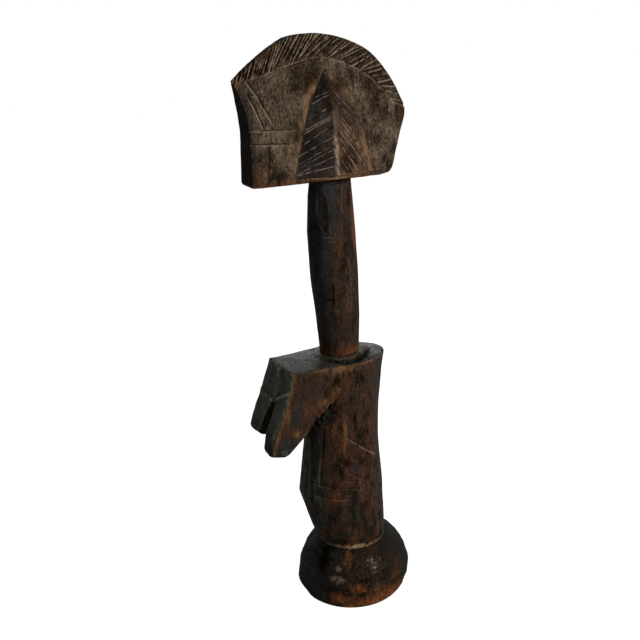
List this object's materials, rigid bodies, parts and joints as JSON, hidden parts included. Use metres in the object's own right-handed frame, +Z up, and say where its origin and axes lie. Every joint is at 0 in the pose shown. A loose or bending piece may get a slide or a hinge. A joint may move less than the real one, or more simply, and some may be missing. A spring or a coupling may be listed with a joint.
{
  "type": "fertility doll",
  "caption": "Hand-carved wooden doll: a flat crescent-crested head on a long neck, a slim torso with hanging breasts, and a domed round foot it stands on.",
  "frame": {"origin": "on the floor plane in the flat underside of the base, on the doll's middle plane", "axes": "+Z up the doll from foot to crest, -Y the way the face looks, +X to the doll's own left"},
  "size_m": [0.0592, 0.0842, 0.28],
  "materials": {
    "head_wood": "dry grey-brown patina with lighter knife cuts",
    "neck_wood": "handled dark brown patina, satin",
    "torso_wood": "orange-brown patina darkened with handling, satin",
    "base_wood": "nearly black patina, worn orange-brown round the foot"
  },
  "bodies": {
    "root": {"head": "head_wood", "neck": "neck_wood", "torso": "torso_wood", "base": "base_wood"}
  },
  "joints": []
}
